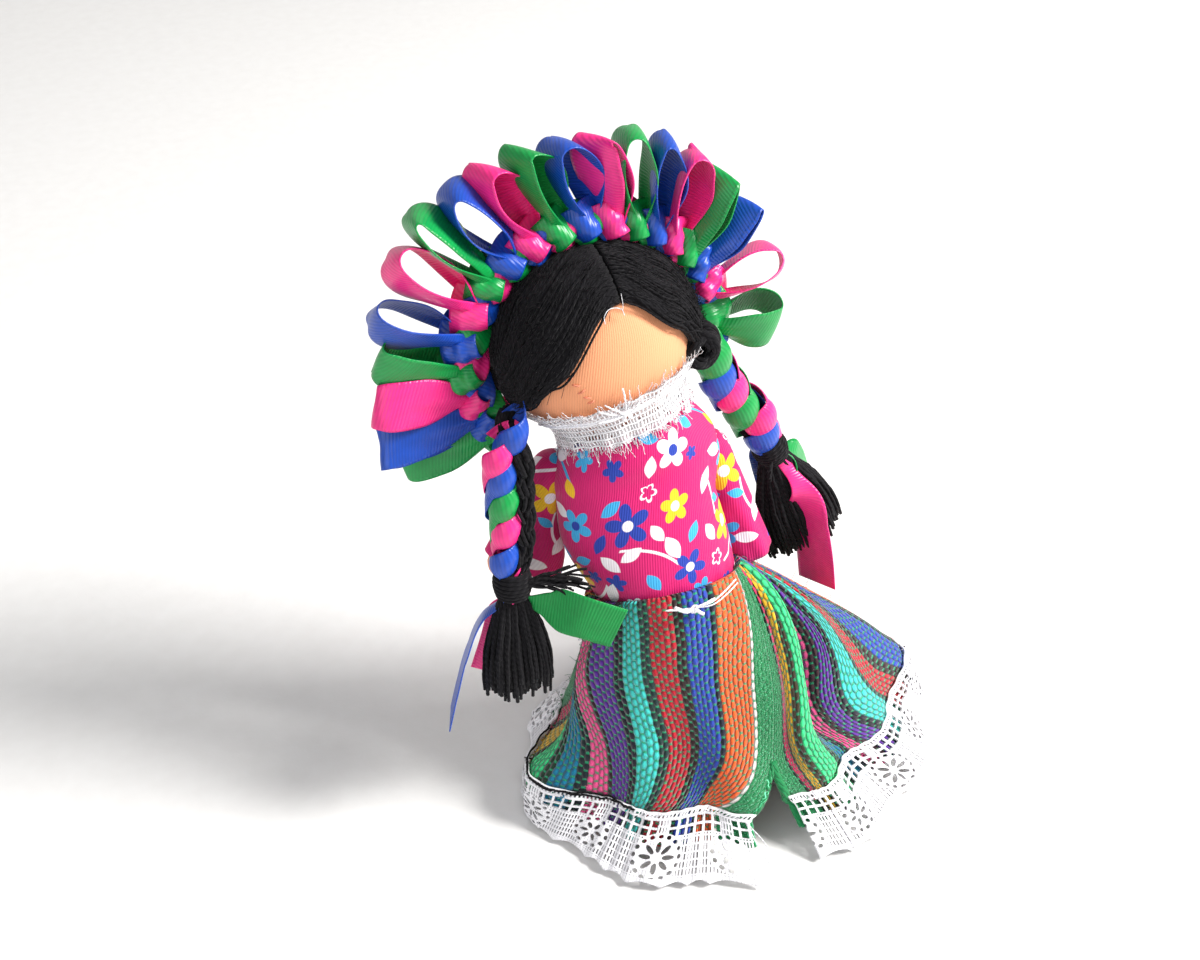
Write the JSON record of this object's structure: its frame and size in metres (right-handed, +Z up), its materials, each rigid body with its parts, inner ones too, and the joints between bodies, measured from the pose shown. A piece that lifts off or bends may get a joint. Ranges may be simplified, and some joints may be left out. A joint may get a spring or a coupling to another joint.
{
  "type": "rag doll",
  "caption": "Small faceless cloth doll with a plaited ribbon headdress, hanging braids, printed blouse and a striped skirt edged with lace, leaning back on its spread skirt.",
  "frame": {"origin": "middle of the doll's box, on the surface it stands on", "axes": "+Z up, -Y the way the doll faces, +X towards the doll's own left"},
  "size_m": [0.1088, 0.0742, 0.1312],
  "materials": {
    "skin_cotton": "matt cotton twill",
    "wadding": "matt polyester wadding",
    "black_yarn": "matt brushed acrylic yarn",
    "green_ribbon": "satin",
    "blue_ribbon": "satin",
    "pink_ribbon": "satin",
    "printed_cotton": "matt printed cotton",
    "handwoven_cotton": "matt handwoven stripes",
    "white_lace": "matt machine lace",
    "white_thread": "matt sewing thread"
  },
  "bodies": {
    "torso": {"torso_cover": "skin_cotton", "torso_stuffing": "wadding", "blouse": "printed_cotton", "skirt": "handwoven_cotton", "hem_lace": "white_lace", "waist_string": "white_thread"},
    "collar": {"lace_collar": "white_lace", "collar_tie": "white_thread"},
    "neck": {"neck": "skin_cotton"},
    "head": {"head_cover": "skin_cotton", "head_stuffing": "wadding", "hair_right": "black_yarn", "hair_left": "black_yarn", "parting_thread": "white_thread", "crown_ribbon_green": "green_ribbon", "crown_ribbon_blue": "blue_ribbon", "crown_ribbon_pink": "pink_ribbon"},
    "right_braid": {"right_braid_ribbon_green": "green_ribbon", "right_braid_ribbon_blue": "blue_ribbon", "right_braid_ribbon_pink": "pink_ribbon", "right_braid_yarn": "black_yarn", "right_braid_tie": "black_yarn"},
    "left_braid": {"left_braid_ribbon_green": "green_ribbon", "left_braid_ribbon_blue": "blue_ribbon", "left_braid_ribbon_pink": "pink_ribbon", "left_braid_yarn": "black_yarn", "left_braid_tie": "black_yarn"},
    "right_arm": {"right_arm_cover": "skin_cotton", "right_arm_stuffing": "wadding", "right_sleeve": "printed_cotton"},
    "left_arm": {"left_arm_cover": "skin_cotton", "left_arm_stuffing": "wadding", "left_sleeve": "printed_cotton"},
    "right_leg": {"right_leg_cover": "skin_cotton", "right_leg_stuffing": "wadding"},
    "left_leg": {"left_leg_cover": "skin_cotton", "left_leg_stuffing": "wadding"}
  },
  "joints": [
    {"name": "neck_tilt", "type": "hinge", "parent": "torso", "child": "collar", "pos_m": [-0.00933, 0.01167, 0.07406], "axis": [0, 0.9681, -0.2504], "range_deg": [-5, 4], "stiffness_Nm_per_rad": 0.05},
    {"name": "neck_nod", "type": "hinge", "parent": "collar", "child": "neck", "pos_m": [-0.00933, 0.01167, 0.07406], "axis": [0.9703, 0.0606, 0.2342], "range_deg": [-5, 5], "stiffness_Nm_per_rad": 0.05},
    {"name": "head_turn", "type": "hinge", "parent": "neck", "child": "head", "pos_m": [-0.01416, 0.01653, 0.09285], "axis": [-0.1392, 0.0691, 0.9879], "range_deg": [-6, 30], "stiffness_Nm_per_rad": 0.03},
    {"name": "right_braid_swing", "type": "hinge", "parent": "head", "child": "right_braid", "pos_m": [-0.03218, 0.01069, 0.0872], "axis": [0, 1, 0], "range_deg": [0, 50]},
    {"name": "left_braid_swing", "type": "hinge", "parent": "head", "child": "left_braid", "pos_m": [0.00512, 0.02129, 0.0933], "axis": [0.8, -0.6, 0], "range_deg": [0, 35]},
    {"name": "right_arm_raise", "type": "hinge", "parent": "torso", "child": "right_arm", "pos_m": [-0.02373, 0.01401, 0.06953], "axis": [0, 0.9681, -0.2504], "range_deg": [0, 40]},
    {"name": "left_arm_swing", "type": "hinge", "parent": "torso", "child": "left_arm", "pos_m": [0.00825, 0.01393, 0.06683], "axis": [-0.9703, -0.0606, -0.2342], "range_deg": [0, 90]},
    {"name": "right_leg_swing", "type": "hinge", "parent": "torso", "child": "right_leg", "pos_m": [-0.00661, 0.00036, 0.03031], "axis": [-1, 0, 0], "range_deg": [-15, 20]},
    {"name": "left_leg_swing", "type": "hinge", "parent": "torso", "child": "left_leg", "pos_m": [0.00445, 0.00104, 0.03298], "axis": [-1, 0, 0], "range_deg": [-15, 20]}
  ]
}
